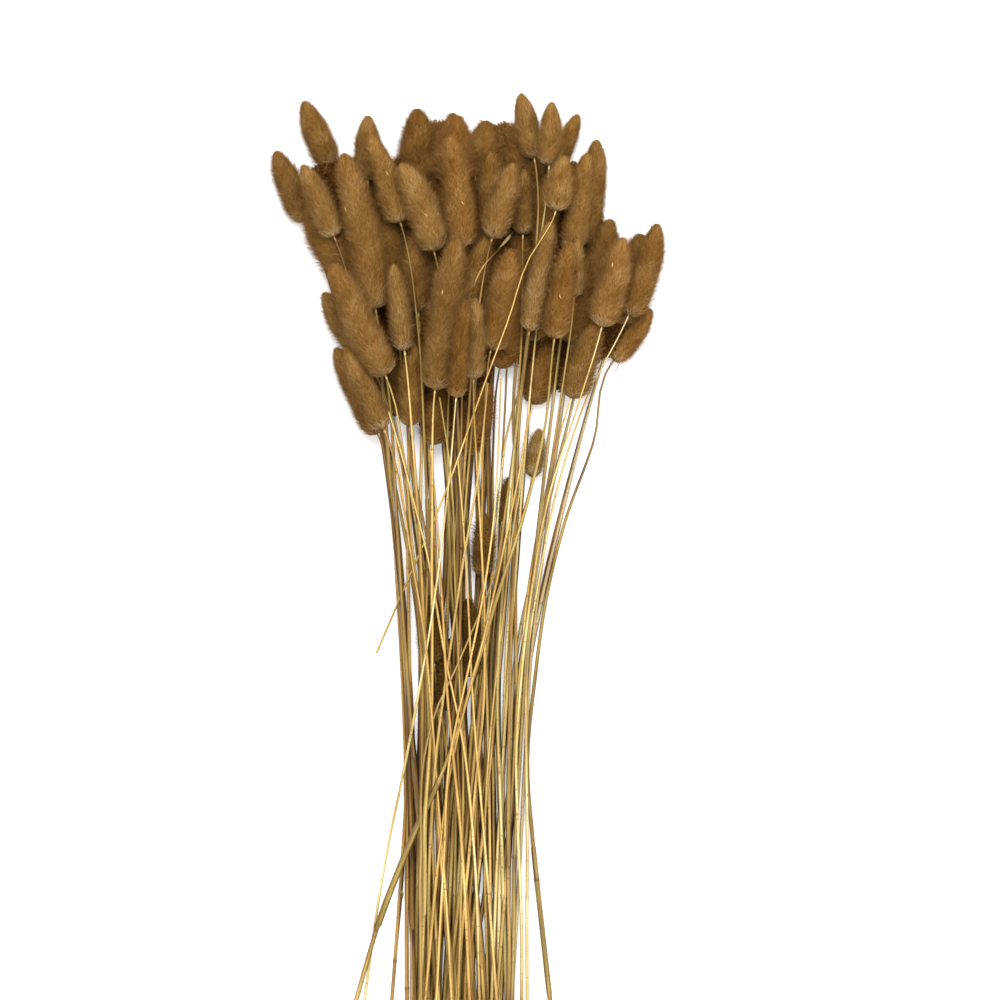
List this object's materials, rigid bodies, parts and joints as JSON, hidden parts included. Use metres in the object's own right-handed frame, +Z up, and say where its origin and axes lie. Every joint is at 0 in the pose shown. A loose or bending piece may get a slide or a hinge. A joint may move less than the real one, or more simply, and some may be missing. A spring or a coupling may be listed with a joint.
{
  "type": "dried bunny tail grass bunch",
  "caption": "Bunch of dried brown bunny tail grass laid flat: soft long seed heads fanned out on thin straw-coloured stems, for a vase or dried arrangement.",
  "frame": {"origin": "middle of the bunch's box, on the surface that the bunch lies on", "axes": "+Y along the stems from their cut feet to the seed heads, +Z up from the surface, +X to the right when the seed heads point away from the viewer"},
  "size_m": [0.1768, 0.4496, 0.0509],
  "materials": {
    "seed_head": "soft matte brown down",
    "stem": "dry satin straw"
  },
  "bodies": {
    "root": {"head_01": "seed_head", "head_03": "seed_head", "head_04": "seed_head", "head_05": "seed_head", "head_06": "seed_head", "head_07": "seed_head", "head_10": "seed_head", "head_11": "seed_head", "head_12": "seed_head", "head_13": "seed_head", "head_14": "seed_head", "head_15": "seed_head", "head_16": "seed_head", "head_17": "seed_head", "head_19": "seed_head", "head_20": "seed_head", "head_21": "seed_head", "head_22": "seed_head", "head_23": "seed_head", "head_24": "seed_head", "head_25": "seed_head", "head_26": "seed_head", "head_27": "seed_head", "head_28": "seed_head", "head_29": "seed_head", "head_30": "seed_head", "head_31": "seed_head", "head_32": "seed_head", "head_34": "seed_head", "head_36": "seed_head", "head_37": "seed_head", "head_38": "seed_head", "head_39": "seed_head", "head_40": "seed_head", "head_43": "seed_head", "head_44": "seed_head", "head_45": "seed_head", "head_46": "seed_head", "head_47": "seed_head", "head_48": "seed_head", "head_52": "seed_head", "head_53": "seed_head", "head_59": "seed_head", "head_62": "seed_head", "head_63": "seed_head", "head_64": "seed_head", "head_65": "seed_head", "head_68": "seed_head", "heads_02_51": "seed_head", "heads_08_67": "seed_head", "heads_09_18": "seed_head", "heads_33_56": "seed_head", "heads_35_57": "seed_head", "heads_41_61": "seed_head", "heads_42_50": "seed_head", "heads_49_60": "seed_head", "heads_54_58": "seed_head", "heads_55_66": "seed_head", "stems_1": "stem", "stems_2": "stem"}
  },
  "joints": []
}
